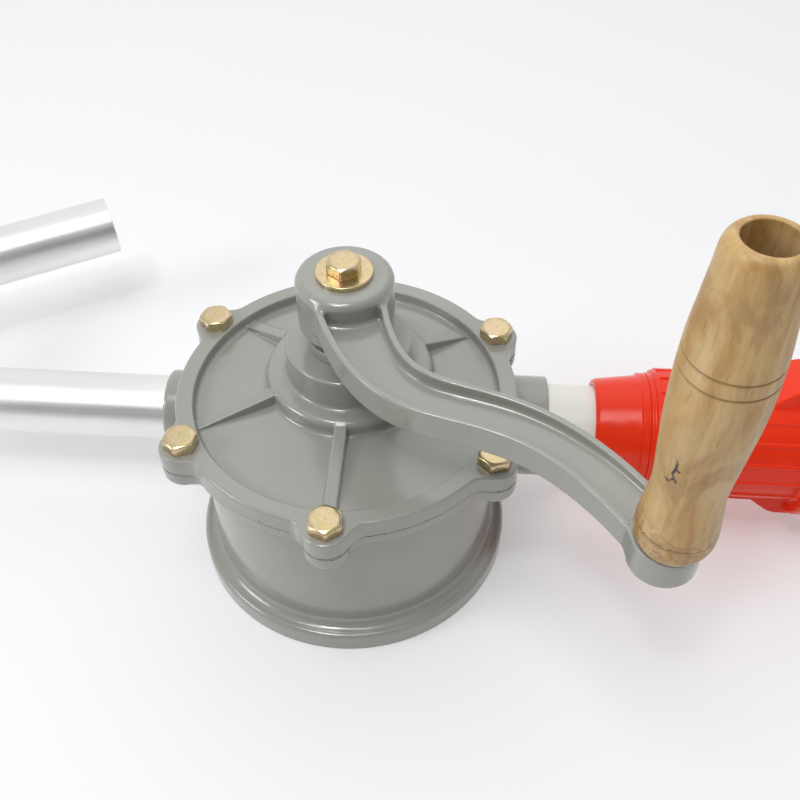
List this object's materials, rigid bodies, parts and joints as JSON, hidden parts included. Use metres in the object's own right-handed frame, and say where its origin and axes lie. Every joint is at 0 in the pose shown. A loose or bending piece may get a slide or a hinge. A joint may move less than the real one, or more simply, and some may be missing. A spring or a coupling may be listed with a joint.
{
  "type": "hand-crank rotary drum pump",
  "caption": "Hand-crank rotary vane drum pump with a round casing, S-shaped crank, turned wooden grip, bent discharge spout, suction tube and a screw-in bung adapter.",
  "frame": {"origin": "centre of the back face that the pump stands on", "axes": "+X along the ports towards the suction side, +Y towards the seal side of the chamber, +Z out of the cover along the crank shaft"},
  "size_m": [0.6245, 0.2824, 0.2554],
  "materials": {
    "painted_casting": "semi-gloss grey paint over a casting",
    "gasket_fibre": "thin fibre gasket",
    "yellow_zinc": "yellow zinc plating",
    "bronze": "machined bronze",
    "packing": "greased braided packing",
    "bright_steel": "machined steel",
    "seal_rubber": "black rubber",
    "pale_plastic": "off-white plastic tube",
    "rotor_iron": "machined cast iron",
    "vane_plastic": "ivory plastic",
    "grip_wood": "turned light wood, thin varnish",
    "spout_aluminium": "drawn aluminium, satin",
    "red_plastic": "glossy moulded red plastic"
  },
  "bodies": {
    "casing": {"body_casing": "painted_casting", "cover_gasket": "gasket_fibre", "front_cover": "painted_casting", "cover_bolts": "yellow_zinc", "back_bush": "bronze", "front_bush": "bronze", "shaft_packing": "packing", "gland_ring": "painted_casting", "outlet_seal": "seal_rubber", "inlet_seal": "seal_rubber", "suction_tube": "pale_plastic"},
    "crank": {"crank_shaft": "bright_steel", "rotor_key": "bright_steel", "rotor": "rotor_iron", "vane_1": "vane_plastic", "vane_2": "vane_plastic", "vane_3": "vane_plastic", "vane_4": "vane_plastic", "vane_springs": "bright_steel", "crank_key": "bright_steel", "crank_arm": "painted_casting", "crank_washer": "yellow_zinc", "crank_bolt": "yellow_zinc", "grip_spindle": "bright_steel", "grip_washer": "bright_steel"},
    "grip": {"wood_grip": "grip_wood"},
    "spout": {"spout_inlet": "spout_aluminium", "spout_bend": "spout_aluminium", "spout_leg": "spout_aluminium"},
    "slider": {"tube_grommet": "seal_rubber"},
    "adapter": {"bung_adapter": "red_plastic", "bung_gasket": "seal_rubber"},
    "collar": {"bung_collar": "red_plastic"}
  },
  "joints": [
    {"name": "crank_turn", "type": "hinge", "parent": "casing", "child": "crank", "pos_m": [0, 0.013, 0.1], "axis": [0, 0, 1], "continuous": true},
    {"name": "grip_spin", "type": "hinge", "parent": "crank", "child": "grip", "pos_m": [0.1188, -0.0992, 0.2], "axis": [0, 0, 1], "continuous": true},
    {"name": "spout_swivel", "type": "hinge", "parent": "casing", "child": "spout", "pos_m": [-0.09, 0.025, 0.048], "axis": [1, 0, 0], "continuous": true},
    {"name": "adapter_slide", "type": "slide", "parent": "casing", "child": "slider", "axis": [1, 0, 0], "range_m": [-0.018, 0.1]},
    {"name": "adapter_turn", "type": "hinge", "parent": "slider", "child": "adapter", "pos_m": [0.15, 0.025, 0.048], "axis": [1, 0, 0], "continuous": true},
    {"name": "collar_turn", "type": "hinge", "parent": "adapter", "child": "collar", "pos_m": [0.12, 0.025, 0.048], "axis": [1, 0, 0], "range_deg": [0, 270]}
  ]
}
